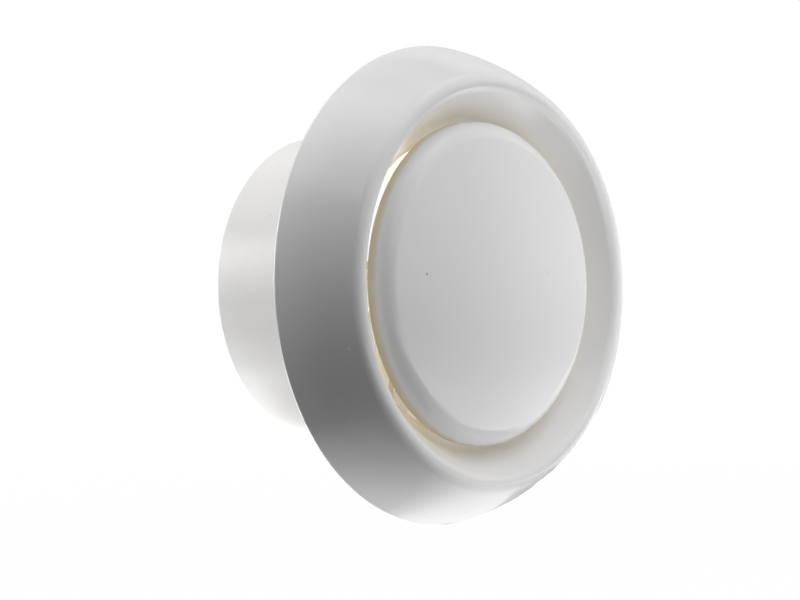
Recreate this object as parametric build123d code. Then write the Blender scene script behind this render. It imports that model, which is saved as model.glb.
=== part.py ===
from build123d import *
from math import asin, atan2, cos, degrees, hypot, radians, sin, sqrt, tan
import os

# Round disc valve for a 100 mm duct, in millimetres. The valve's axis lies along Y, its front
# faces -Y, and Z is up. The origin is on the axis, in the plane of the wall that it is fixed to.
# A depth is measured forwards from that plane, so a negative depth lies inside the duct.

# Mounting collar: sleeve in the duct and flange on the wall
COLLAR_RADIUS = 49.1
COLLAR_WALL = 1.6
COLLAR_DEPTH = -48.5
COLLAR_ROUND = 0.6
FLANGE_REACH = 13.9
FLANGE_WALL = 1.6
SCREW_INSET = 4.5
SCREW_COUNT = 4
SCREW_HOLE_RADIUS = 2.1
SCREW_HEAD_RADIUS = 3.2

# Inner sleeve of the valve body
SLEEVE_GAP = 1.5
SLEEVE_WALL = 1.4
SLEEVE_DEPTH = -30.0
THROAT_ROUND = 4.0

# Valve disc: shallow dome, rolled shoulder, boss and ribs
DISC_OVERLAP = 5.8
DISC_WALL = 1.9
SHOULDER_ROUND = 6.2
SHOULDER_DEPTH = 17.0
LIP_LENGTH = 1.3
LIP_ROUND = 0.4
DOME_RISE = 2.4
BOSS_RADIUS = 6.5
BOSS_LENGTH = 12.0
RIB_COUNT = 6
RIB_WIDTH = 1.4
RIB_INSET = 4.9
RIB_HEIGHT_AT_BOSS = 8.0
RIB_HEIGHT_AT_RIM = 3.0

# Front ring of the valve body: outer side, rounded crest and funnel
RING_OVERHANG = 12.0
RING_WALL = 1.8
RIM_ROUND = 1.2
SIDE_ROUND = 75.0
CREST_GAP = 11.7
CREST_DEPTH = 21.0
CREST_ROUND = 3.8
FUNNEL_SLOPE = 52.0

# Shelf behind the funnel that the foam ring is stuck to
SHELF_DEPTH = 5.0
SHELF_WALL = 1.5
SHELF_MARGIN = 1.0

# Three-armed spider across the sleeve, with the hub that the spindle runs in
ARM_COUNT = 3
ARM_WIDTH = 2.6
ARM_DEPTH_AT_HUB = 11.0
ARM_DEPTH_AT_WALL = 7.0
HUB_RADIUS = 8.0
HUB_LENGTH = 12.5
HUB_INSET = 1.0
HUB_ROUND = 0.8

# Bayonet: lugs on the inner sleeve that turn in behind catches in the collar; angles in degrees
LUG_COUNT = 3
LUG_ARC = 14.0
LUG_LENGTH = 3.0
CATCH_DEPTH = -1.6
CATCH_LENGTH = 2.6
CATCH_OVERHANG = 6.0
CATCH_EXTRA = 12.0
STOP_ARC = 3.0
STOP_SLACK = 1.0
BAYONET_TURN = 26.0
BAYONET_GAP = 0.35

# Spindle: M6 rod with a turned-down rear end
THREAD_RADIUS = 3.0
SPINDLE_REACH = 8.7
SPINDLE_CHAMFER = 0.5
NECK_LENGTH = 3.1
NECK_RADIUS = 2.4
GROOVE_RADIUS = 1.9
DISC_TRAVEL = 10.0

# Nuts, washers, insert and clip on the spindle
NUT_FLATS = 10.0
NUT_FACE = 9.5
NUT_CHAMFER = 30.0
HUB_NUT_LENGTH = 5.0
HUB_NUT_SINK = 0.5
THIN_NUT_LENGTH = 3.2
LOCK_NUT_TRAVEL = 1.5
WASHER_RADIUS = 6.0
WASHER_LENGTH = 1.2
WASHER_CHAMFER = 0.2
INSERT_RADIUS = 4.1
INSERT_LENGTH = 8.0
STOP_WASHER_RADIUS = 5.5
STOP_WASHER_LENGTH = 1.5
CLIP_RADIUS = 3.9
CLIP_LENGTH = 0.7
CLIP_MOUTH = 3.0

# Foam ring
GASKET_WIDTH = 6.0
GASKET_ROUND = 0.6

# Clearances
THREAD_GAP = 0.05
HOLE_GAP = 0.3
SEAT_GAP = 0.02
END_GAP = 0.05
STOP_GAP = 0.45
GASKET_GAP = 0.2
JOIN = 0.5

# Radii, from the collar inwards and outwards
COLLAR_INNER = COLLAR_RADIUS - COLLAR_WALL
SLEEVE_RADIUS = COLLAR_INNER - SLEEVE_GAP
THROAT_RADIUS = SLEEVE_RADIUS - SLEEVE_WALL
DISC_RADIUS = THROAT_RADIUS + DISC_OVERLAP
CREST_RADIUS = DISC_RADIUS + CREST_GAP
FLANGE_RADIUS = COLLAR_RADIUS + FLANGE_REACH
RING_RADIUS = FLANGE_RADIUS + RING_OVERHANG

# Depths of the pieces on the spindle, each from the one that it rests on
HUB_BACK = SLEEVE_DEPTH + HUB_INSET
HUB_FRONT = HUB_BACK + HUB_LENGTH
HUB_NUT_BACK = HUB_FRONT - HUB_NUT_SINK - HUB_NUT_LENGTH
LOCK_WASHER_BACK = HUB_BACK - WASHER_LENGTH
LOCK_NUT_BACK = LOCK_WASHER_BACK - THIN_NUT_LENGTH
STOP_WASHER_FRONT = LOCK_NUT_BACK - LOCK_NUT_TRAVEL - STOP_GAP - DISC_TRAVEL
STOP_WASHER_BACK = STOP_WASHER_FRONT - STOP_WASHER_LENGTH
CLIP_FRONT = STOP_WASHER_BACK - END_GAP
CLIP_BACK = CLIP_FRONT - CLIP_LENGTH
SPINDLE_SHOULDER = STOP_WASHER_FRONT + END_GAP
SPINDLE_BACK = SPINDLE_SHOULDER - NECK_LENGTH
APEX_DEPTH = SHOULDER_DEPTH + SHOULDER_ROUND + DOME_RISE
FACE_BACK = APEX_DEPTH - DISC_WALL
BOSS_BACK = FACE_BACK - BOSS_LENGTH
DISC_WASHER_BACK = BOSS_BACK - WASHER_LENGTH
SPINDLE_FRONT = BOSS_BACK + SPINDLE_REACH

TURN_AXIS = Axis((0, 0, 0), (0, 1, 0))


def at(radius, depth):
    """A point of a turned profile, from its radius and its depth in front of the wall."""
    return Vector(radius, -depth, 0)


def polar(centre, radius, angle):
    """A profile point on a circle; angles run from outwards (0) to forwards (90)."""
    return (centre[0] + radius * cos(radians(angle)), centre[1] + radius * sin(radians(angle)))


def arc(centre, radius, start, end):
    """An arc of a profile about a centre given as radius and depth."""
    return ThreePointArc(*[at(*polar(centre, radius, angle)) for angle in (start, (start + end) / 2, end)])


def lines(*points):
    """A chain of straight profile edges through points given as radius and depth."""
    return Polyline(*[at(*point) for point in points])


def turned(*edges):
    """The solid that a closed profile makes when it is turned about the valve's axis."""
    return revolve(make_face(edges), axis=TURN_AXIS)


def tube(inner, outer, back, front):
    """A plain turned ring between two radii and two depths."""
    return turned(lines((inner, back), (outer, back), (outer, front), (inner, front), (inner, back)))


def sector(inner, outer, back, front, start, span):
    """A piece of such a ring; its angles run from +X towards +Z."""
    profile = lines((inner, back), (outer, back), (outer, front), (inner, front), (inner, back))
    return Rot(0, -(start + span), 0) * revolve(make_face(profile), axis=TURN_AXIS, revolution_arc=span)


def around(count, shape, first=0.0):
    """Copies of a shape, evenly spaced about the valve's axis, the first turned by an angle."""
    return [Rot(0, -(first + 360 * index / count), 0) * shape for index in range(count)]


def blade(width, *points):
    """A flat rib in a plane through the axis, with its outline given as radius and depth."""
    return extrude(make_face(lines(*points, points[0])), amount=width / 2, both=True)


def hexagon(flats, back, front):
    """A hexagonal prism along the axis."""
    plane = Plane(origin=(0, -back, 0), x_dir=(1, 0, 0), z_dir=(0, -1, 0))
    return extrude(plane * RegularPolygon(flats / 2, 6, major_radius=False), amount=front - back)


def nut(length, back):
    """A hexagon nut with both ends chamfered and a plain bore over the thread."""
    front = back + length
    corner = NUT_FLATS / sqrt(3)
    land = NUT_FACE / 2
    rise = (corner - land) * tan(radians(NUT_CHAMFER))
    chamfered = turned(
        lines(
            (0, back),
            (land, back),
            (corner, back + rise),
            (corner, front - rise),
            (land, front),
            (0, front),
            (0, back),
        )
    )
    return (hexagon(NUT_FLATS, back, front) & chamfered) - bore(THREAD_RADIUS + THREAD_GAP, back, front)


def bore(radius, back, front):
    """A cutter for a round hole on the axis."""
    return tube(0, radius, back, front)


def bearing(start, end):
    """The profile angle of the line from one point to another."""
    return degrees(atan2(end[1] - start[1], end[0] - start[0]))


def smooth_centre(first, first_round, second, second_round, radius):
    """Centre of the arc of a radius that runs smoothly into the rounds about two points."""
    run = (second[0] - first[0], second[1] - first[1])
    span = hypot(*run)
    unit = (run[0] / span, run[1] / span)
    near = radius - first_round
    far = radius - second_round
    along = (near**2 - far**2 + span**2) / (2 * span)
    across = sqrt(near**2 - along**2)
    return (
        first[0] + along * unit[0] - across * unit[1],
        first[1] + along * unit[1] + across * unit[0],
    )


def make_valve_body():
    rim = (RING_RADIUS - RIM_ROUND, RIM_ROUND)
    crest = (CREST_RADIUS, CREST_DEPTH)
    side = smooth_centre(rim, RIM_ROUND, crest, CREST_ROUND, SIDE_ROUND)
    rim_angle = bearing(side, rim)
    crest_angle = bearing(side, crest)
    flank_angle = 90 + FUNNEL_SLOPE
    rise = tan(radians(FUNNEL_SLOPE))

    # The throat's round touches both the funnel's slope and the bore of the sleeve.
    throat_out = THROAT_RADIUS + THROAT_ROUND
    spare = (CREST_ROUND - THROAT_ROUND) / cos(radians(FUNNEL_SLOPE))
    throat = (throat_out, CREST_DEPTH + spare - (CREST_RADIUS - throat_out) * rise)
    funnel_front = polar(crest, CREST_ROUND, flank_angle)
    funnel_back = polar(throat, THROAT_ROUND, flank_angle)

    # The hidden side lies one wall behind the slope.
    hidden_front = polar(crest, CREST_ROUND - RING_WALL, flank_angle)

    def hidden(depth):
        return (hidden_front[0] - (hidden_front[1] - depth) / rise, depth)

    root_depth = hidden_front[1] - (hidden_front[0] - SLEEVE_RADIUS) * rise
    shelf_front = SHELF_DEPTH + SHELF_WALL
    shelf_edge = COLLAR_INNER + GASKET_WIDTH + SHELF_MARGIN
    inner_round = SIDE_ROUND - RING_WALL
    foot_angle = degrees(asin(-side[1] / inner_round))
    foot = polar(side, inner_round, foot_angle)

    shell = turned(
        arc(rim, RIM_ROUND, -90, rim_angle),
        arc(side, SIDE_ROUND, rim_angle, crest_angle),
        arc(crest, CREST_ROUND, crest_angle, flank_angle),
        lines(funnel_front, funnel_back),
        arc(throat, THROAT_ROUND, flank_angle, 180),
        lines(
            (THROAT_RADIUS, throat[1]),
            (THROAT_RADIUS, SLEEVE_DEPTH),
            (SLEEVE_RADIUS, SLEEVE_DEPTH),
            (SLEEVE_RADIUS, root_depth),
            hidden(SHELF_DEPTH),
            (shelf_edge, SHELF_DEPTH),
            (shelf_edge, shelf_front),
            hidden(shelf_front),
            hidden_front,
        ),
        arc(crest, CREST_ROUND - RING_WALL, flank_angle, crest_angle),
        arc(side, inner_round, crest_angle, foot_angle),
        lines(foot, (rim[0], 0)),
    )

    hub = tube(0, HUB_RADIUS, HUB_BACK, HUB_FRONT)
    hub = fillet(hub.edges().filter_by(GeomType.CIRCLE), HUB_ROUND)
    arm = blade(
        ARM_WIDTH,
        (HUB_RADIUS - JOIN, HUB_BACK),
        (THROAT_RADIUS + JOIN, HUB_BACK),
        (THROAT_RADIUS + JOIN, HUB_BACK + ARM_DEPTH_AT_WALL),
        (HUB_RADIUS - JOIN, HUB_BACK + ARM_DEPTH_AT_HUB),
    )
    lug_front = CATCH_DEPTH - CATCH_LENGTH - BAYONET_GAP
    lug = sector(
        SLEEVE_RADIUS - JOIN,
        COLLAR_INNER - BAYONET_GAP,
        lug_front - LUG_LENGTH,
        lug_front,
        -LUG_ARC,
        LUG_ARC,
    )
    body = shell + hub + around(ARM_COUNT, arm, -90) + around(LUG_COUNT, lug)
    body -= bore(THREAD_RADIUS + HOLE_GAP, HUB_BACK, HUB_FRONT)
    return body - hexagon(NUT_FLATS + 2 * SEAT_GAP, HUB_NUT_BACK, HUB_FRONT)


def make_mounting_collar():
    corner = (COLLAR_RADIUS - COLLAR_ROUND, COLLAR_DEPTH + COLLAR_ROUND)
    collar = turned(
        lines((COLLAR_INNER, COLLAR_DEPTH), (corner[0], COLLAR_DEPTH)),
        arc(corner, COLLAR_ROUND, -90, 0),
        lines(
            (COLLAR_RADIUS, corner[1]),
            (COLLAR_RADIUS, 0),
            (FLANGE_RADIUS, 0),
            (FLANGE_RADIUS, FLANGE_WALL),
            (COLLAR_INNER, FLANGE_WALL),
            (COLLAR_INNER, COLLAR_DEPTH),
        ),
    )
    catch_inner = SLEEVE_RADIUS + BAYONET_GAP
    catch_back = CATCH_DEPTH - CATCH_LENGTH
    lug_back = catch_back - BAYONET_GAP - LUG_LENGTH
    catch_span = CATCH_OVERHANG + LUG_ARC + CATCH_EXTRA
    outer = COLLAR_INNER + JOIN
    stop_start = -LUG_ARC - STOP_SLACK - STOP_ARC
    bayonet = [
        sector(catch_inner, outer, catch_back, CATCH_DEPTH, CATCH_OVERHANG - catch_span, catch_span),
        sector(catch_inner, outer, lug_back, catch_back + JOIN, stop_start, STOP_ARC),
        sector(catch_inner, outer, lug_back, CATCH_DEPTH, BAYONET_TURN + STOP_SLACK, STOP_ARC),
    ]
    for piece in bayonet:
        collar += around(LUG_COUNT, piece)
    sink = SCREW_HEAD_RADIUS - SCREW_HOLE_RADIUS
    hole_plane = Plane(origin=(FLANGE_RADIUS - SCREW_INSET, -FLANGE_WALL, 0), x_dir=(1, 0, 0), z_dir=(0, 1, 0))
    hole = extrude(hole_plane * Circle(SCREW_HOLE_RADIUS), amount=FLANGE_WALL)
    hole += hole_plane * Pos(0, 0, sink / 2) * Cone(SCREW_HEAD_RADIUS, SCREW_HOLE_RADIUS, sink)
    return collar - around(SCREW_COUNT, hole, 180 / SCREW_COUNT)


def make_ring_gasket():
    back = FLANGE_WALL + GASKET_GAP
    inner = (COLLAR_INNER + GASKET_ROUND, back + GASKET_ROUND)
    outer = (COLLAR_INNER + GASKET_WIDTH - GASKET_ROUND, back + GASKET_ROUND)
    return turned(
        lines((inner[0], back), (outer[0], back)),
        arc(outer, GASKET_ROUND, -90, 0),
        lines(
            (outer[0] + GASKET_ROUND, outer[1]),
            (outer[0] + GASKET_ROUND, SHELF_DEPTH),
            (inner[0] - GASKET_ROUND, SHELF_DEPTH),
            (inner[0] - GASKET_ROUND, inner[1]),
        ),
        arc(inner, GASKET_ROUND, 180, 270),
    )


def make_valve_disc():
    shoulder = (DISC_RADIUS - SHOULDER_ROUND, SHOULDER_DEPTH)
    rise = APEX_DEPTH - SHOULDER_DEPTH
    dome = (shoulder[0] ** 2 + rise**2 - SHOULDER_ROUND**2) / (2 * (rise - SHOULDER_ROUND))
    centre = (0, APEX_DEPTH - dome)
    edge_angle = bearing(centre, shoulder)
    lip_back = SHOULDER_DEPTH - LIP_LENGTH
    lip = (DISC_RADIUS - LIP_ROUND, lip_back + LIP_ROUND)
    inner_edge = DISC_RADIUS - DISC_WALL
    disc = turned(
        arc(centre, dome, 90, edge_angle),
        arc(shoulder, SHOULDER_ROUND, edge_angle, 0),
        lines((DISC_RADIUS, SHOULDER_DEPTH), (DISC_RADIUS, lip[1])),
        arc(lip, LIP_ROUND, 0, -90),
        lines((lip[0], lip_back), (inner_edge, lip_back), (inner_edge, SHOULDER_DEPTH)),
        arc(shoulder, SHOULDER_ROUND - DISC_WALL, 0, edge_angle),
        arc(centre, dome - DISC_WALL, edge_angle, 90),
        lines((0, FACE_BACK), (0, APEX_DEPTH)),
    )
    rib_reach = DISC_RADIUS - RIB_INSET
    rim_back = SHOULDER_DEPTH + SHOULDER_ROUND - DISC_WALL
    boss = tube(0, BOSS_RADIUS, BOSS_BACK, FACE_BACK + JOIN)
    rib = blade(
        RIB_WIDTH,
        (BOSS_RADIUS - JOIN, FACE_BACK - RIB_HEIGHT_AT_BOSS),
        (rib_reach, rim_back - RIB_HEIGHT_AT_RIM),
        (rib_reach, rim_back + JOIN),
        (BOSS_RADIUS - JOIN, FACE_BACK + JOIN),
    )
    disc += boss
    disc += around(RIB_COUNT, rib, 90)
    disc -= bore(INSERT_RADIUS + SEAT_GAP, BOSS_BACK, BOSS_BACK + INSERT_LENGTH)
    return disc - bore(THREAD_RADIUS + HOLE_GAP, BOSS_BACK, SPINDLE_FRONT + HOLE_GAP)


def make_spindle():
    tip = THREAD_RADIUS - SPINDLE_CHAMFER
    return turned(
        lines(
            (0, SPINDLE_FRONT),
            (tip, SPINDLE_FRONT),
            (THREAD_RADIUS, SPINDLE_FRONT - SPINDLE_CHAMFER),
            (THREAD_RADIUS, SPINDLE_SHOULDER + SPINDLE_CHAMFER),
            (tip, SPINDLE_SHOULDER),
            (NECK_RADIUS, SPINDLE_SHOULDER),
            (NECK_RADIUS, CLIP_FRONT),
            (GROOVE_RADIUS, CLIP_FRONT),
            (GROOVE_RADIUS, CLIP_BACK - END_GAP),
            (NECK_RADIUS, CLIP_BACK - END_GAP),
            (NECK_RADIUS, SPINDLE_BACK + SPINDLE_CHAMFER),
            (NECK_RADIUS - SPINDLE_CHAMFER, SPINDLE_BACK),
            (0, SPINDLE_BACK),
            (0, SPINDLE_FRONT),
        )
    )


def make_retaining_clip():
    ring = tube(GROOVE_RADIUS + SEAT_GAP, CLIP_RADIUS, CLIP_BACK, CLIP_FRONT)
    mouth = Pos(0, -(CLIP_BACK + CLIP_FRONT) / 2, -CLIP_RADIUS) * Box(CLIP_MOUTH, 2 * CLIP_LENGTH, 2 * CLIP_RADIUS)
    return ring - mouth


def washer(inner, outer, length, back):
    """A flat washer with its two outer edges broken."""
    ring = tube(inner, outer, back, back + length)
    rims = ring.edges().filter_by(GeomType.CIRCLE).sort_by(SortBy.RADIUS)[-2:]
    return chamfer(rims, WASHER_CHAMFER)


washer_bore = THREAD_RADIUS + HOLE_GAP

pieces = {
    "valve_body": make_valve_body(),
    "mounting_collar": make_mounting_collar(),
    "ring_gasket": make_ring_gasket(),
    "valve_disc": make_valve_disc(),
    "spindle": make_spindle(),
    "disc_insert": tube(THREAD_RADIUS + THREAD_GAP, INSERT_RADIUS, BOSS_BACK, BOSS_BACK + INSERT_LENGTH),
    "disc_washer": washer(washer_bore, WASHER_RADIUS, WASHER_LENGTH, DISC_WASHER_BACK),
    "disc_nut": nut(THIN_NUT_LENGTH, DISC_WASHER_BACK - THIN_NUT_LENGTH),
    "hub_nut": nut(HUB_NUT_LENGTH, HUB_NUT_BACK),
    "lock_washer": washer(washer_bore, WASHER_RADIUS, WASHER_LENGTH, LOCK_WASHER_BACK),
    "lock_nut": nut(THIN_NUT_LENGTH, LOCK_NUT_BACK),
    "stop_washer": washer(NECK_RADIUS + THREAD_GAP, STOP_WASHER_RADIUS, STOP_WASHER_LENGTH, STOP_WASHER_BACK),
    "retaining_clip": make_retaining_clip(),
}

os.makedirs("parts", exist_ok=True)
for name, shape in pieces.items():
    export_step(shape, f"parts/{name}.step")
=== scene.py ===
"""Looks, stage and camera for the round disc air valve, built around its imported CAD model."""

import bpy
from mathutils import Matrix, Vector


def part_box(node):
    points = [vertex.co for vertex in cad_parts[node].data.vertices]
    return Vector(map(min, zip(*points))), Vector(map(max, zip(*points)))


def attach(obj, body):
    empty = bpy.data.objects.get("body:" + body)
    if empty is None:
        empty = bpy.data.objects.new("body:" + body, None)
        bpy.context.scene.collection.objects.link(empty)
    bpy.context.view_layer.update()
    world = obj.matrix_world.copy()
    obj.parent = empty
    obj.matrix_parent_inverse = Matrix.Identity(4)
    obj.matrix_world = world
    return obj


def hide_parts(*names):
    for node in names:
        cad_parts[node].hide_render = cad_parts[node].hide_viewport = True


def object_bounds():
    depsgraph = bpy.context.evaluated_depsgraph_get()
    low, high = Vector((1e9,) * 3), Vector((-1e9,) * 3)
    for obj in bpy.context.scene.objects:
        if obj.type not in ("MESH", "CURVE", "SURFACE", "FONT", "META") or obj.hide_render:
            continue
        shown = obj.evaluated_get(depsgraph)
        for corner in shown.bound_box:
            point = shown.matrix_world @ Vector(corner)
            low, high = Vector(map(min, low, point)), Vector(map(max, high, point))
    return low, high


bl_info = {
    "name": "Round disc air valve",
    "version": (1, 0, 0),
    "blender": (4, 5, 0),
    "location": "3D View > Sidebar > Air valve",
    "description": "Gives the packed air valve its finishes and sets it in a plain white studio",
    "category": "Object",
}

import math

import bmesh
import bpy
from bpy.props import FloatProperty, FloatVectorProperty, IntProperty, PointerProperty
from mathutils import Matrix, Quaternion, Vector

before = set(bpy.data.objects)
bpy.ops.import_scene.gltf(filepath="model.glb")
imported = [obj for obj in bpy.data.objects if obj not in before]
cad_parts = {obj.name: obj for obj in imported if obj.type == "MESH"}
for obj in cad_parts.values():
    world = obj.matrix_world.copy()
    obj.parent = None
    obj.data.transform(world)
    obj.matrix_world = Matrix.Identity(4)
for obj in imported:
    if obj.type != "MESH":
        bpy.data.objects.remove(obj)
CAD_BOX = [list(corner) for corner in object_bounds()]
TABLE_TOP = CAD_BOX[0][2]
MM = 0.001

# Edges that bend by more than this are sharp, and points nearer than this are one point.
SHARP = math.radians(30)
SAME_POINT = 0.001 * MM

# Moulded plastic: how the mould's waves tilt the surface and sway its roughness between the usual
# ends of the noise, and the share of a speck's radius that shows it at full strength.
ABS_IOR = 1.53
WAVE_TILT = 0.35
WAVE_HEIGHT = 0.02 * MM
WAVE_SWAY = 0.02
WAVE_ENDS = (0.3, 0.7)
SPECK_CORE = 0.4

# Metal: the darkest grain's share of the full tone, and how the grain sways the roughness and
# tilts the surface.
GRAIN_DARKEST = 0.82
GRAIN_SWAY = 0.08
GRAIN_TILT = 0.2
GRAIN_HEIGHT = 0.02 * MM

# Foam: the width of a cell, the darkest tone's share in it, and how deep it looks.
CELL_WIDTH = 0.5 * MM
CELL_DARKEST = 0.6
CELL_TILT = 0.7
CELL_DEPTH = 0.1 * MM
FOAM_ROUGHNESS = 0.9
FOAM_IOR = 1.5

# The spindle: the flat crest and the flank of its thread as shares of half a pitch, its chamfers,
# and the snap ring's groove from the rear end.
CREST_SHARE = 0.125
FLANK_SHARE = 0.625
RINGS_PER_PITCH = 10
CHAMFER = 0.5 * MM
GROOVE_START = 0.75 * MM
GROOVE_END = 1.5 * MM

# The floor: half its width, and where its own shading begins and ends fading into plain white.
FLOOR_REACH = 3.0
FADE_START = 0.15
FADE_END = 0.6

# The camera's sensor in millimetres, and the nearest and farthest that it sees in metres.
SENSOR_WIDTH = 36
NEAREST = 0.05
FARTHEST = 20

# The lamps: what they aim at, how far they stay above the table, the backdrop, and the height of
# the first table panel with what each later one is raised.
LAMP_AIM = Vector((0, 10 * MM, 0))
LAMP_GAP = 10 * MM
BACKDROP_WIDTH = 2.0
BACKDROP_HEIGHT = 0.8
BACKDROP_DISTANCE = 0.6
PANEL_GAP = 0.02 * MM
PANEL_STEP = 0.004 * MM

# Softboxes round the valve: name, heading and height in degrees, side in metres, watts. Heading 0
# is in front of the disc, 90 at its right, 270 at its left. Their watts follow the photo's tones.
SOFTBOXES = (
    ("low_back_left", 210, 12, 0.35, 3.0),
    ("high_left", 270, 68, 0.8, 2.11),
    ("front_right", 45, 42, 0.8, 1.71),
    ("key_front", 0, 42, 0.8, 1.69),
    ("back_left", 225, 42, 0.8, 1.04),
    ("high_front", 0, 68, 0.8, 0.84),
    ("high_back", 180, 68, 0.8, 0.82),
    ("low_right", 60, 12, 0.35, 0.26),
    ("low_front_right", 30, 12, 0.35, 0.2),
    ("back", 180, 42, 0.8, 0.12),
)
# Glowing panels lying on the table, which light the undersides: the middle's x and y, width and
# depth in metres, watts. The broad ones lie side by side, the others brighten parts of them.
TABLE_PANELS = (
    (-0.28, 0.29, 0.14, 0.14, 0.17),
    (-0.14, 0.15, 0.14, 0.14, 0.031),
    (-0.14, 0.29, 0.14, 0.14, 0.17),
    (0.0, -0.27, 0.14, 0.14, 0.144),
    (0.0, 0.01, 0.14, 0.14, 0.012),
    (0.0, 0.15, 0.14, 0.14, 0.17),
    (0.0, 0.29, 0.14, 0.14, 0.17),
    (0.14, -0.27, 0.14, 0.14, 0.169),
    (0.14, -0.13, 0.14, 0.14, 0.06),
    (0.14, 0.01, 0.14, 0.14, 0.141),
    (0.14, 0.15, 0.14, 0.14, 0.17),
    (0.14, 0.29, 0.14, 0.14, 0.17),
    (0.28, -0.13, 0.14, 0.14, 0.17),
    (-0.075, 0.1, 0.1, 0.05, 0.016),
    (-0.05, 0.025, 0.05, 0.1, 0.006),
    (0.0, -0.025, 0.05, 0.1, 0.012),
    (0.0, 0.075, 0.05, 0.1, 0.008),
    (0.025, 0.15, 0.3, 0.05, 0.12),
    (0.1, -0.1, 0.15, 0.05, 0.045),
    (0.1, 0.075, 0.15, 0.1, 0.12),
)


def linear(code):
    """Turns an sRGB hex colour into linear red, green and blue."""
    channels = [int(code[i : i + 2], 16) / 255 for i in (1, 3, 5)]
    return tuple(c / 12.92 if c <= 0.04045 else ((c + 0.055) / 1.055) ** 2.4 for c in channels)


def add_node(tree, kind, settings=None, inputs=None):
    """Adds a node with its settings, and links or sets its inputs by name or number."""
    node = tree.nodes.new(kind)
    for name, value in (settings or {}).items():
        setattr(node, name, value)
    for key, value in (inputs or {}).items():
        if isinstance(value, bpy.types.NodeSocket):
            tree.links.new(value, node.inputs[key])
        else:
            node.inputs[key].default_value = value
    return node


def new_material(name):
    """An empty node material with its output node."""
    material = bpy.data.materials.new(name)
    material.use_nodes = True
    material.node_tree.nodes.clear()
    return material, material.node_tree, add_node(material.node_tree, "ShaderNodeOutputMaterial")


def new_object(name, data):
    """A new object at the origin, linked into the scene."""
    made = bpy.data.objects.new(name, data)
    bpy.context.scene.collection.objects.link(made)
    return made


def evaluated_mesh(holder):
    """The plain mesh of an object with its modifiers applied."""
    bpy.context.view_layer.update()
    depsgraph = bpy.context.evaluated_depsgraph_get()
    return bpy.data.meshes.new_from_object(holder.evaluated_get(depsgraph))


def dress(material, *node_names):
    """Gives CAD nodes their material."""
    for name in node_names:
        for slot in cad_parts[name].material_slots:
            slot.material = material


def colour_setting(name, description, code):
    """A colour in the sidebar, whose default is given as an sRGB hex code."""
    return FloatVectorProperty(
        name=name,
        description=description,
        subtype="COLOR",
        size=3,
        min=0,
        max=1,
        default=linear(code),
    )


class MouldingSettings(bpy.types.PropertyGroup):
    """Colours and surface of the moulded plastic."""

    gloss_colour: colour_setting("Gloss plastic", "Colour of the ring and the disc", "#F0F0F0")
    collar_colour: colour_setting("Collar plastic", "Colour of the mounting collar", "#F2F1EF")
    dirt_colour: colour_setting("Dirt", "Colour of the dark specks on the plastic", "#4A4640")
    dust_colour: colour_setting("Dust", "Colour of the light specks on the plastic", "#FFFFFF")
    # Painted glow: a warm tint for the light that bounces in the gap round the disc and shines
    # through the thin plastic there.
    painted_light_colour: colour_setting(
        "Stain", "Colour of the plastic that the air has yellowed", "#ECE0C7"
    )
    # Painted shade: a darker warm tone on the collar's inside, where little light reaches.
    collar_painted_shade_colour: colour_setting(
        "Inside", "Colour of the collar's inside, where the air has left its dust", "#C6BCA8"
    )
    gloss: FloatProperty(
        name="Gloss roughness",
        description="Roughness of the ring and the disc",
        min=0,
        max=1,
        default=0.22,
    )
    satin: FloatProperty(
        name="Collar roughness",
        description="Roughness of the mounting collar",
        min=0,
        max=1,
        default=0.32,
    )
    ripple: FloatProperty(
        name="Ripple length",
        description="Spacing of the soft waves left by the mould",
        unit="LENGTH",
        min=0.0005,
        default=9 * MM,
    )


class FittingSettings(bpy.types.PropertyGroup):
    """Colours of the metal and foam pieces, and the thread of the spindle."""

    zinc_colour: colour_setting("Zinc plate", "Colour of the plated steel", "#C6C9CC")
    spring_colour: colour_setting("Spring steel", "Colour of the snap ring", "#6B6A68")
    brass_colour: colour_setting("Brass", "Colour of the threaded insert", "#D9BA74")
    foam_colour: colour_setting("Foam", "Colour of the sealing ring", "#4B4C4F")
    pitch: FloatProperty(
        name="Thread pitch",
        description="Distance between two turns of the thread",
        unit="LENGTH",
        min=0.0002,
        default=1 * MM,
    )
    thread_depth: FloatProperty(
        name="Thread depth",
        description="Height of the thread above its root",
        unit="LENGTH",
        min=0,
        default=0.54 * MM,
    )
    around: IntProperty(
        name="Faces around", description="Number of faces around the spindle", min=12, default=36
    )
    neck_length: FloatProperty(
        name="Neck length",
        description="Length of the spindle's turned-down rear end",
        unit="LENGTH",
        min=0,
        default=3.1 * MM,
    )
    neck_radius: FloatProperty(
        name="Neck radius",
        description="Radius of that rear end",
        unit="LENGTH",
        min=0,
        default=2.4 * MM,
    )
    groove_radius: FloatProperty(
        name="Groove radius",
        description="Radius at the bottom of the snap ring's groove",
        unit="LENGTH",
        min=0,
        default=1.9 * MM,
    )


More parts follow.
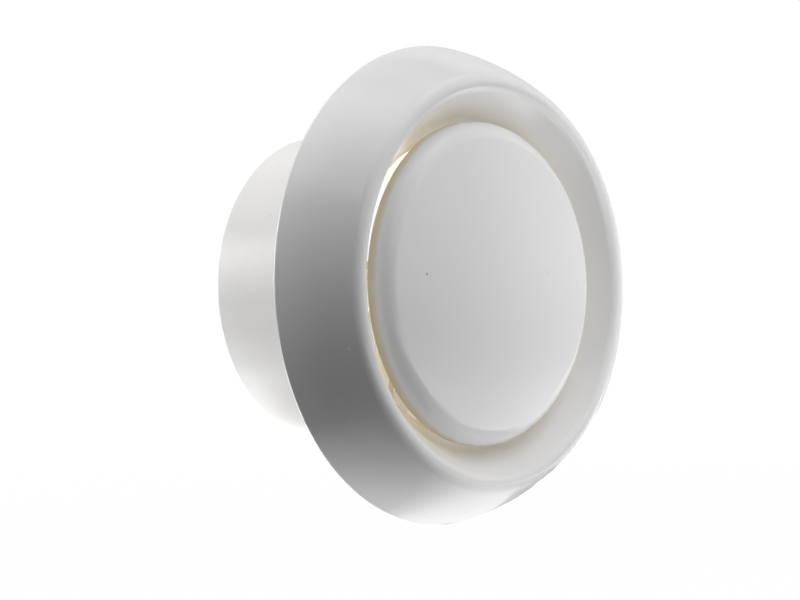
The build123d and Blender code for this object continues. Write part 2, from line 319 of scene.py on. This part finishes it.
class StageSettings(bpy.types.PropertyGroup):
    """Camera, floor and lamps."""

    lens: FloatProperty(
        name="Lens", description="Focal length of the camera, in millimetres", min=20, default=135.8
    )
    camera_place: FloatVectorProperty(
        name="Camera place",
        description="Where the camera stands",
        subtype="TRANSLATION",
        unit="LENGTH",
        size=3,
        default=(-0.7187, -0.6182, -0.0043),
    )
    camera_heading: FloatProperty(
        name="Camera heading",
        description="Direction of view, from +Y towards +X",
        subtype="ANGLE",
        default=math.radians(48.583),
    )
    camera_roll: FloatProperty(
        name="Camera roll",
        description="Tilt of the camera about its view",
        subtype="ANGLE",
        default=math.radians(-1.807),
    )
    floor_colour: colour_setting("Floor", "Colour of the floor as the valve mirrors it", "#595959")
    floor_glow: FloatProperty(
        name="Floor glow",
        description="Share of plain white in what the camera sees of the floor",
        subtype="FACTOR",
        min=0,
        max=1,
        default=0.993,
    )
    room: FloatProperty(
        name="Room light",
        description="Strength of the even light from all sides",
        min=0,
        max=1,
        default=0.02,
    )
    lamp_colour: colour_setting("Lamp colour", "Colour of the lamps", "#FFFFFF")
    lamp_share: FloatProperty(
        name="Lamp strength",
        description="Strength of the softboxes and table panels together",
        min=0,
        default=1.0,
    )
    stand: FloatProperty(
        name="Lamp distance",
        description="From the valve to the softboxes",
        unit="LENGTH",
        min=0.3,
        default=0.8,
    )
    backdrop: FloatProperty(
        name="Backdrop",
        description="Strength of the white backdrop behind the valve",
        min=0,
        max=1,
        default=0.6,
    )


class ValveSettings(bpy.types.PropertyGroup):
    """All settings of the air valve."""

    moulding: PointerProperty(type=MouldingSettings)
    fitting: PointerProperty(type=FittingSettings)
    stage: PointerProperty(type=StageSettings)


def moulded_abs(name, colour, roughness, ripple, specks, painted_light):
    """Injection-moulded ABS: a smooth skin with slow waves from the mould and a few small marks.

    The painted light is a tint painted near the valve's axis in place of the light and shade there:
    its colour, and the distances from the valve's axis, in millimetres, at which it begins and at
    which it is full."""
    material, tree, output = new_material(name)
    place = add_node(tree, "ShaderNodeTexCoord").outputs["Object"]
    waves = add_node(
        tree,
        "ShaderNodeTexNoise",
        inputs={"Vector": place, "Scale": 1 / ripple, "Detail": 1.0, "Roughness": 0.4},
    )
    bump = add_node(
        tree,
        "ShaderNodeBump",
        inputs={"Height": waves.outputs["Fac"], "Strength": WAVE_TILT, "Distance": WAVE_HEIGHT},
    )
    shade = add_node(
        tree,
        "ShaderNodeMapRange",
        inputs={
            "Value": waves.outputs["Fac"],
            "From Min": WAVE_ENDS[0],
            "From Max": WAVE_ENDS[1],
            "To Min": roughness - WAVE_SWAY,
            "To Max": roughness + WAVE_SWAY,
        },
    )
    # Painted light: a tint near the axis that stands in for the light and shade there.
    tone = with_painted_light(tree, place, (*colour, 1), *painted_light)
    tone = colour_with_specks(tree, place, tone, specks)
    shader = add_node(
        tree,
        "ShaderNodeBsdfPrincipled",
        inputs={
            "Base Color": tone,
            "Roughness": shade.outputs["Result"],
            "IOR": ABS_IOR,
            "Normal": bump.outputs["Normal"],
        },
    )
    tree.links.new(shader.outputs["BSDF"], output.inputs["Surface"])
    return material


def with_painted_light(tree, place, tone, painted_light_colour, start, full):
    """The plastic's tone, which turns into a painted tint standing in for light and shade between
    two distances from the axis.
    """
    flat = add_node(
        tree, "ShaderNodeVectorMath", {"operation": "MULTIPLY"}, {0: place, 1: (1, 0, 1)}
    )
    radius = add_node(
        tree, "ShaderNodeVectorMath", {"operation": "LENGTH"}, {0: flat.outputs["Vector"]}
    )
    cover = add_node(
        tree,
        "ShaderNodeMapRange",
        {"interpolation_type": "SMOOTHSTEP"},
        {"Value": radius.outputs["Value"], "From Min": start * MM, "From Max": full * MM},
    )
    return add_node(
        tree,
        "ShaderNodeMix",
        {"data_type": "RGBA"},
        {"Factor": cover.outputs["Result"], "A": tone, "B": (*painted_light_colour, 1)},
    ).outputs["Result"]


def colour_with_specks(tree, place, tone, specks):
    """The plastic's colour with small marks, each with its place and radius in millimetres, its
    strength and its colour."""
    for centre, radius, strength, colour in specks:
        gap = add_node(
            tree,
            "ShaderNodeVectorMath",
            {"operation": "DISTANCE"},
            {0: place, 1: [value * MM for value in centre]},
        )
        cover = add_node(
            tree,
            "ShaderNodeMapRange",
            inputs={
                "Value": gap.outputs["Value"],
                "From Min": radius * SPECK_CORE * MM,
                "From Max": radius * MM,
                "To Min": strength,
                "To Max": 0.0,
            },
        )
        tone = add_node(
            tree,
            "ShaderNodeMix",
            {"data_type": "RGBA"},
            {"Factor": cover.outputs["Result"], "A": tone, "B": (*colour, 1)},
        ).outputs["Result"]
    return tone


def metal(name, colour, roughness, grain):
    """Metal with a fine, uneven grain in its tone, roughness and surface.

    The real grain is too fine to show, so it is drawn as coarse as it needs to show."""
    material, tree, output = new_material(name)
    place = add_node(tree, "ShaderNodeTexCoord").outputs["Object"]
    noise = add_node(
        tree, "ShaderNodeTexNoise", inputs={"Vector": place, "Scale": 1 / grain, "Detail": 3.0}
    )
    tone = add_node(
        tree,
        "ShaderNodeMix",
        {"data_type": "RGBA"},
        {
            "Factor": noise.outputs["Fac"],
            "A": (*[value * GRAIN_DARKEST for value in colour], 1),
            "B": (*colour, 1),
        },
    )
    rough = add_node(
        tree,
        "ShaderNodeMapRange",
        inputs={
            "Value": noise.outputs["Fac"],
            "To Min": roughness - GRAIN_SWAY,
            "To Max": roughness + GRAIN_SWAY,
        },
    )
    bump = add_node(
        tree,
        "ShaderNodeBump",
        inputs={"Height": noise.outputs["Fac"], "Strength": GRAIN_TILT, "Distance": GRAIN_HEIGHT},
    )
    shader = add_node(
        tree,
        "ShaderNodeBsdfPrincipled",
        inputs={
            "Base Color": tone.outputs["Result"],
            "Metallic": 1.0,
            "Roughness": rough.outputs["Result"],
            "Normal": bump.outputs["Normal"],
        },
    )
    tree.links.new(shader.outputs["BSDF"], output.inputs["Surface"])
    return material


def closed_cell_foam(colour):
    """Closed-cell foam: dull and dark, with the small open cells of its cut faces."""
    material, tree, output = new_material("closed_cell_foam_cut")
    place = add_node(tree, "ShaderNodeTexCoord").outputs["Object"]
    cells = add_node(
        tree, "ShaderNodeTexVoronoi", inputs={"Vector": place, "Scale": 1 / CELL_WIDTH}
    )
    tone = add_node(
        tree,
        "ShaderNodeMix",
        {"data_type": "RGBA"},
        {
            "Factor": cells.outputs["Distance"],
            "A": (*[value * CELL_DARKEST for value in colour], 1),
            "B": (*colour, 1),
        },
    )
    bump = add_node(
        tree,
        "ShaderNodeBump",
        inputs={"Height": cells.outputs["Distance"], "Strength": CELL_TILT, "Distance": CELL_DEPTH},
    )
    shader = add_node(
        tree,
        "ShaderNodeBsdfPrincipled",
        inputs={
            "Base Color": tone.outputs["Result"],
            "Roughness": FOAM_ROUGHNESS,
            "IOR": FOAM_IOR,
            "Normal": bump.outputs["Normal"],
        },
    )
    tree.links.new(shader.outputs["BSDF"], output.inputs["Surface"])
    return material


def threaded_rod_tree():
    """A rod along Z with an ISO thread, a turned-down rear end with a groove, and chamfered ends.

    The rod starts as a cylinder with many rings of points, and each point is then moved in or out
    to the radius that the thread has there."""
    tree = bpy.data.node_groups.new("threaded_rod", "GeometryNodeTree")
    tree.interface.new_socket(name="Geometry", in_out="OUTPUT", socket_type="NodeSocketGeometry")
    sizes = (
        "Length",
        "Radius",
        "Pitch",
        "Thread depth",
        "Chamfer",
        "Neck length",
        "Neck radius",
        "Groove radius",
        "Groove start",
        "Groove end",
    )
    for name in sizes:
        tree.interface.new_socket(name=name, in_out="INPUT", socket_type="NodeSocketFloat")
    for name in ("Faces around", "Rings per pitch"):
        tree.interface.new_socket(name=name, in_out="INPUT", socket_type="NodeSocketInt")
    tree.interface.new_socket(name="Material", in_out="INPUT", socket_type="NodeSocketMaterial")
    given = add_node(tree, "NodeGroupInput").outputs
    point = add_node(tree, "GeometryNodeInputPosition").outputs["Position"]
    place = add_node(tree, "ShaderNodeSeparateXYZ", inputs={"Vector": point}).outputs
    known = {name: given[name] for name in (*sizes, "Rings per pitch")}
    known.update({axis: place[axis] for axis in "XYZ"})
    # Each step names its result, a Math operation and what it works on. The flank goes from 0 on
    # the thread's crest to 1 at its root, and is flat for an eighth of a pitch on the crest and for
    # a quarter at the root.
    steps = (
        ("turns", "DIVIDE", "Length", "Pitch"),
        ("rings", "MULTIPLY", "turns", "Rings per pitch"),
        ("half length", "DIVIDE", "Length", 2.0),
        ("along", "ADD", "Z", "half length"),
        ("to front", "SUBTRACT", "Length", "along"),
        ("angle", "ARCTAN2", "Y", "X"),
        ("turned", "DIVIDE", "angle", 2 * math.pi),
        ("in pitches", "DIVIDE", "along", "Pitch"),
        ("phase", "SUBTRACT", "in pitches", "turned"),
        ("half wave", "PINGPONG", "phase", 0.5),
        ("wave", "MULTIPLY", "half wave", 2.0),
        ("past crest", "SUBTRACT", "wave", CREST_SHARE),
        ("steep", "DIVIDE", "past crest", FLANK_SHARE),
        ("above crest", "MAXIMUM", "steep", 0.0),
        ("flank", "MINIMUM", "above crest", 1.0),
        ("cut", "MULTIPLY", "flank", "Thread depth"),
        ("thread", "SUBTRACT", "Radius", "cut"),
        ("tip", "SUBTRACT", "Radius", "Chamfer"),
        ("front chamfer", "ADD", "tip", "to front"),
        ("past neck", "SUBTRACT", "along", "Neck length"),
        ("rear chamfer", "ADD", "tip", "past neck"),
        ("chamfers", "MINIMUM", "front chamfer", "rear chamfer"),
        ("body", "MINIMUM", "thread", "chamfers"),
        ("neck tip", "SUBTRACT", "Neck radius", "Chamfer"),
        ("neck chamfer", "ADD", "neck tip", "along"),
        ("plain neck", "MINIMUM", "Neck radius", "neck chamfer"),
        ("after start", "GREATER_THAN", "along", "Groove start"),
        ("before end", "LESS_THAN", "along", "Groove end"),
        ("in groove", "MULTIPLY", "after start", "before end"),
        ("groove step", "SUBTRACT", "Groove radius", "plain neck"),
        ("groove cut", "MULTIPLY", "in groove", "groove step"),
        ("neck", "ADD", "plain neck", "groove cut"),
        ("on neck", "LESS_THAN", "along", "Neck length"),
        ("neck step", "SUBTRACT", "neck", "body"),
        ("neck cut", "MULTIPLY", "on neck", "neck step"),
        ("reach", "ADD", "body", "neck cut"),
        ("share", "DIVIDE", "reach", "Radius"),
        ("new x", "MULTIPLY", "X", "share"),
        ("new y", "MULTIPLY", "Y", "share"),
    )
    for name, operation, first, second in steps:
        inputs = {number: known.get(part, part) for number, part in enumerate((first, second))}
        known[name] = add_node(tree, "ShaderNodeMath", {"operation": operation}, inputs).outputs[0]

    rod = add_node(
        tree,
        "GeometryNodeMeshCylinder",
        {"fill_type": "NGON"},
        {
            "Vertices": given["Faces around"],
            "Side Segments": known["rings"],
            "Radius": given["Radius"],
            "Depth": given["Length"],
        },
    )
    moved = add_node(
        tree,
        "ShaderNodeCombineXYZ",
        inputs={"X": known["new x"], "Y": known["new y"], "Z": place["Z"]},
    )
    shaped = add_node(
        tree,
        "GeometryNodeSetPosition",
        inputs={"Geometry": rod.outputs["Mesh"], "Position": moved.outputs["Vector"]},
    )
    real = add_node(
        tree, "GeometryNodeRealizeInstances", inputs={"Geometry": shaped.outputs["Geometry"]}
    )
    dressed = add_node(
        tree,
        "GeometryNodeSetMaterial",
        inputs={"Geometry": real.outputs["Geometry"], "Material": given["Material"]},
    )
    add_node(tree, "NodeGroupOutput", inputs={"Geometry": dressed.outputs["Geometry"]})
    return tree


def grown_mesh(name, tree, values):
    """The plain mesh that a Geometry Nodes tree makes from values named after its inputs."""
    holder = new_object(name, bpy.data.meshes.new(name))
    modifier = holder.modifiers.new(name, "NODES")
    modifier.node_group = tree
    for socket in tree.interface.items_tree:
        if socket.in_out == "INPUT":
            modifier[socket.identifier] = values[socket.name]
    mesh = evaluated_mesh(holder)
    mesh.name = name
    bpy.data.objects.remove(holder)
    return mesh


def make_spindle(settings, material):
    """The M6 rod with its real thread, in place of the plain CAD rod."""
    low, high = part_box("spindle")
    length = high[1] - low[1]
    values = {
        "Length": length,
        "Radius": (high[0] - low[0]) / 2,
        "Pitch": settings.pitch,
        "Thread depth": settings.thread_depth,
        "Chamfer": CHAMFER,
        "Neck length": settings.neck_length,
        "Neck radius": settings.neck_radius,
        "Groove radius": settings.groove_radius,
        "Groove start": GROOVE_START,
        "Groove end": GROOVE_END,
        "Faces around": settings.around,
        "Rings per pitch": RINGS_PER_PITCH,
        "Material": material,
    }
    mesh = grown_mesh("threaded_spindle", threaded_rod_tree(), values)
    # The rod's rear end, at its lowest Z, goes to the rear of the valve.
    middle = Matrix.Translation((0, (low[1] + high[1]) / 2, 0))
    mesh.transform(middle @ Matrix.Rotation(math.radians(90), 4, "X"))
    mesh.shade_smooth()
    mesh.set_sharp_from_angle(angle=SHARP)
    spindle = new_object("threaded_spindle", mesh)
    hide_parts("spindle")
    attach(spindle, "disc")


def make_disc(material):
    """The disc with new normals, since those of the CAD mesh mirror a bright spot at its middle."""
    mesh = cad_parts["valve_disc"].data.copy()
    mesh.name = "smooth_disc"
    welded = bmesh.new()
    welded.from_mesh(mesh)
    bmesh.ops.remove_doubles(welded, verts=welded.verts, dist=SAME_POINT)
    for face in welded.faces:
        face.material_index = 0
    welded.to_mesh(mesh)
    welded.free()
    if "custom_normal" in mesh.attributes:
        mesh.attributes.remove(mesh.attributes["custom_normal"])
    mesh.materials.clear()
    mesh.materials.append(material)
    mesh.shade_smooth()
    mesh.set_sharp_from_angle(angle=SHARP)
    holder = new_object("smooth_disc", mesh)
    # Large faces count for more, so that the wide dome stays even up to the round shoulder.
    holder.modifiers.new("even_normals", "WEIGHTED_NORMAL").keep_sharp = True
    holder.data = evaluated_mesh(holder)
    holder.data.name = "smooth_disc"
    holder.modifiers.clear()
    bpy.data.meshes.remove(mesh)
    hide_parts("valve_disc")
    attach(holder, "disc")


class AIRVALVE_OT_mouldings(bpy.types.Operator):
    """Finish the front ring, the disc and the mounting collar"""

    bl_idname = "airvalve.mouldings"
    bl_label = "Finish mouldings"

    def execute(self, context):
        settings = context.scene.air_valve.moulding
        dirt = settings.dirt_colour
        dust = settings.dust_colour
        # Specks: place and radius in millimetres, strength, colour.
        ring_specks = (
            ((-64.39, -20.44, -18.21), 0.7, 1.0, dust),
            ((-61.83, -14.26, -33.3), 0.7, 0.8, dust),
        )
        disc_specks = (
            ((-32.8, -24.28, 3.26), 0.5, 0.6, dirt),
            ((24.4, -24.86, 2.7), 1.2, 0.06, dirt),
        )
        collar_specks = (
            ((-43.19, 30.3, 23.31), 0.4, 0.25, dirt),
        )
        # Painted light: a warm glow painted on the ring's throat and the disc's rim, where light
        # bounces in the gap and shines through the thin plastic, and painted shade on the collar's
        # inside. Each gives its colour, and the distances from the axis at which it begins and is
        # full.
        ring_painted_glow = (settings.painted_light_colour, 48.2, 47.3)
        disc_painted_glow = (settings.painted_light_colour, 49.95, 50.4)
        collar_painted_shade = (settings.collar_painted_shade_colour, 48.6, 47.6)
        # ABS from a polished mould: a hard white skin with clear highlights that waver a little.
        ring_look = (
            settings.gloss_colour, settings.gloss, settings.ripple, ring_specks, ring_painted_glow
        )
        disc_look = (
            settings.gloss_colour, settings.gloss, settings.ripple, disc_specks, disc_painted_glow
        )
        gloss = moulded_abs("gloss_moulded_abs", *ring_look)
        disc = moulded_abs("gloss_moulded_abs_disc", *disc_look)
        # ABS from a plain mould: the same white, with broad and softer highlights.
        collar_look = (
            settings.collar_colour, settings.satin, settings.ripple, collar_specks, collar_painted_shade
        )
        collar = moulded_abs("satin_moulded_abs", *collar_look)
        dress(gloss, "valve_body")
        dress(disc, "valve_disc")
        make_disc(disc)
        dress(collar, "mounting_collar")
        return {"FINISHED"}


class AIRVALVE_OT_fittings(bpy.types.Operator):
    """Finish the nuts, washers, insert, snap ring and foam ring"""

    bl_idname = "airvalve.fittings"
    bl_label = "Finish fittings"

    def execute(self, context):
        settings = context.scene.air_valve.fitting
        # Zinc plating on steel: a cool grey shine, cloudy and half dull.
        zinc = metal("zinc_plated_steel", settings.zinc_colour, roughness=0.34, grain=0.8 * MM)
        dress(
            zinc,
            "disc_nut",
            "disc_washer",
            "hub_nut",
            "lock_nut",
            "lock_washer",
            "stop_washer",
            "spindle",
        )
        make_spindle(settings, zinc)
        # Phosphated spring steel: dark and nearly dull, from its layer of small crystals.
        spring = metal(
            "phosphated_spring_steel", settings.spring_colour, roughness=0.45, grain=0.4 * MM
        )
        dress(spring, "retaining_clip")
        # Turned brass: yellow and bright, with a slight unevenness from the tool.
        brass = metal("turned_brass", settings.brass_colour, roughness=0.3, grain=0.5 * MM)
        dress(brass, "disc_insert")
        # Cut foam: a dark, dull edge with small pits.
        dress(closed_cell_foam(settings.foam_colour), "ring_gasket")
        return {"FINISHED"}


class AIRVALVE_OT_stage(bpy.types.Operator):
    """Make the floor, the room, the lamps and the camera"""

    bl_idname = "airvalve.stage"
    bl_label = "Make stage"

    def execute(self, context):
        settings = context.scene.air_valve.stage
        make_floor(settings)
        make_room(context.scene, settings)
        make_lamps(settings)
        make_camera(context.scene, settings)
        context.scene.view_settings.view_transform = "Standard"
        return {"FINISHED"}


def make_floor(settings):
    """A floor that is grey where the valve mirrors it, and almost plain white to the camera."""
    mesh = bpy.data.meshes.new("floor")
    sides = ((-1, -1), (1, -1), (1, 1), (-1, 1))
    corners = [(FLOOR_REACH * x, FLOOR_REACH * y, TABLE_TOP) for x, y in sides]
    mesh.from_pydata(corners, [], [(0, 1, 2, 3)])
    floor = new_object("floor", mesh)
    # A lacquered table top: dull and even, with a trace of the valve's shadow under it.
    material, tree, output = new_material("white_table_top")
    diffuse = add_node(tree, "ShaderNodeBsdfDiffuse", inputs={"Color": (*settings.floor_colour, 1)})
    glow = add_node(tree, "ShaderNodeEmission", inputs={"Color": (1, 1, 1, 1), "Strength": 1.0})
    seen = add_node(tree, "ShaderNodeLightPath").outputs["Is Camera Ray"]
    # The floor's own shading fades out away from the valve, so that no edge shows behind it.
    place = add_node(tree, "ShaderNodeTexCoord").outputs["Object"]
    away = add_node(
        tree, "ShaderNodeVectorMath", {"operation": "LENGTH"}, {0: place}
    ).outputs["Value"]
    fade = add_node(
        tree,
        "ShaderNodeMapRange",
        inputs={
            "Value": away,
            "From Min": FADE_START,
            "From Max": FADE_END,
            "To Min": settings.floor_glow,
            "To Max": 1.0,
        },
    )
    share = add_node(
        tree, "ShaderNodeMath", {"operation": "MULTIPLY"}, {0: seen, 1: fade.outputs["Result"]}
    )
    top = add_node(
        tree,
        "ShaderNodeMixShader",
        inputs={0: share.outputs["Value"], 1: diffuse.outputs["BSDF"], 2: glow.outputs["Emission"]},
    )
    tree.links.new(top.outputs["Shader"], output.inputs["Surface"])
    mesh.materials.append(material)


def make_room(scene, settings):
    """An even, weak room light that the camera sees as plain white."""
    world = bpy.data.worlds.new("white_room")
    world.use_nodes = True
    tree = world.node_tree
    tree.nodes.clear()
    seen = add_node(tree, "ShaderNodeLightPath").outputs["Is Camera Ray"]
    strength = add_node(
        tree, "ShaderNodeMapRange", inputs={"Value": seen, "To Min": settings.room, "To Max": 1.0}
    )
    back = add_node(
        tree,
        "ShaderNodeBackground",
        inputs={"Color": (1, 1, 1, 1), "Strength": strength.outputs["Result"]},
    )
    output = add_node(tree, "ShaderNodeOutputWorld")
    tree.links.new(back.outputs["Background"], output.inputs["Surface"])
    scene.world = world


def view_way(settings):
    """The level direction in which the camera looks."""
    heading = settings.camera_heading
    return Vector((math.sin(heading), math.cos(heading), 0))


def make_lamp(name, place, aim, width, height, watts, colour):
    """A softbox that lights and mirrors in the valve, and that the camera doesn't see."""
    data = bpy.data.lights.new(name, "AREA")
    data.shape = "RECTANGLE"
    data.size = width
    data.size_y = height
    data.energy = watts
    data.color = colour
    lamp = new_object(name, data)
    lamp.location = place
    lamp.rotation_mode = "QUATERNION"
    lamp.rotation_quaternion = (aim - place).to_track_quat("-Z", "Y")
    lamp.visible_camera = False


def make_lamps(settings):
    """Softboxes round the valve, glowing panels on the table and a pale backdrop behind it."""
    colour = settings.lamp_colour
    for name, heading, height, side, watts in SOFTBOXES:
        turn = math.radians(heading)
        tilt = math.radians(height)
        level = math.cos(tilt)
        way = Vector((math.sin(turn) * level, -math.cos(turn) * level, math.sin(tilt)))
        place = LAMP_AIM + way * settings.stand
        place.z = max(place.z, TABLE_TOP + side / 2 + LAMP_GAP)
        make_lamp(name, place, LAMP_AIM, side, side, watts * settings.lamp_share, colour)
    for number, (across, along, width, depth, watts) in enumerate(TABLE_PANELS):
        # Each lies a little over the last, since light is lost where two share a plane.
        name = f"table_panel_{number}"
        place = Vector((across, along, TABLE_TOP + PANEL_GAP + PANEL_STEP * number))
        up = place + Vector((0, 0, 1))
        make_lamp(name, place, up, width, depth, watts * settings.lamp_share, colour)
    forward = view_way(settings)
    height = TABLE_TOP + LAMP_GAP + BACKDROP_HEIGHT / 2
    place = forward * BACKDROP_DISTANCE + Vector((0, 0, height))
    # With pi watts for each square metre, at strength 1, it would light as a plain white surface.
    watts = math.pi * BACKDROP_WIDTH * BACKDROP_HEIGHT * settings.backdrop
    make_lamp("backdrop", place, place - forward, BACKDROP_WIDTH, BACKDROP_HEIGHT, watts, colour)


def make_camera(scene, settings):
    """The camera, level and turned to the photographed side."""
    data = bpy.data.cameras.new("camera")
    data.sensor_width = SENSOR_WIDTH
    data.lens = settings.lens
    data.clip_start = NEAREST
    data.clip_end = FARTHEST
    camera = new_object("camera", data)
    roll = Quaternion((0, 0, 1), settings.camera_roll)
    camera.rotation_mode = "QUATERNION"
    camera.rotation_quaternion = view_way(settings).to_track_quat("-Z", "Y") @ roll
    camera.location = settings.camera_place
    scene.camera = camera


class AIRVALVE_PT_sidebar(bpy.types.Panel):
    """Lists the settings and the steps"""

    bl_label = "Air valve"
    bl_idname = "AIRVALVE_PT_sidebar"
    bl_space_type = "VIEW_3D"
    bl_region_type = "UI"
    bl_category = "Air valve"

    def draw(self, context):
        settings = context.scene.air_valve
        groups = (
            (settings.moulding, "airvalve.mouldings"),
            (settings.fitting, "airvalve.fittings"),
            (settings.stage, "airvalve.stage"),
        )
        for group, step in groups:
            box = self.layout.box()
            for name in group.bl_rna.properties.keys():
                if name not in ("rna_type", "name"):
                    box.prop(group, name)
            box.operator(step)


CLASSES = (
    MouldingSettings,
    FittingSettings,
    StageSettings,
    ValveSettings,
    AIRVALVE_OT_mouldings,
    AIRVALVE_OT_fittings,
    AIRVALVE_OT_stage,
    AIRVALVE_PT_sidebar,
)


def register():
    for cls in CLASSES:
        bpy.utils.register_class(cls)
    bpy.types.Scene.air_valve = PointerProperty(type=ValveSettings)


def unregister():
    del bpy.types.Scene.air_valve
    for cls in reversed(CLASSES):
        bpy.utils.unregister_class(cls)


def main():
    """Runs every step in order."""
    register()
    bpy.ops.airvalve.mouldings()
    bpy.ops.airvalve.fittings()
    bpy.ops.airvalve.stage()


if __name__ == "__main__":
    main()
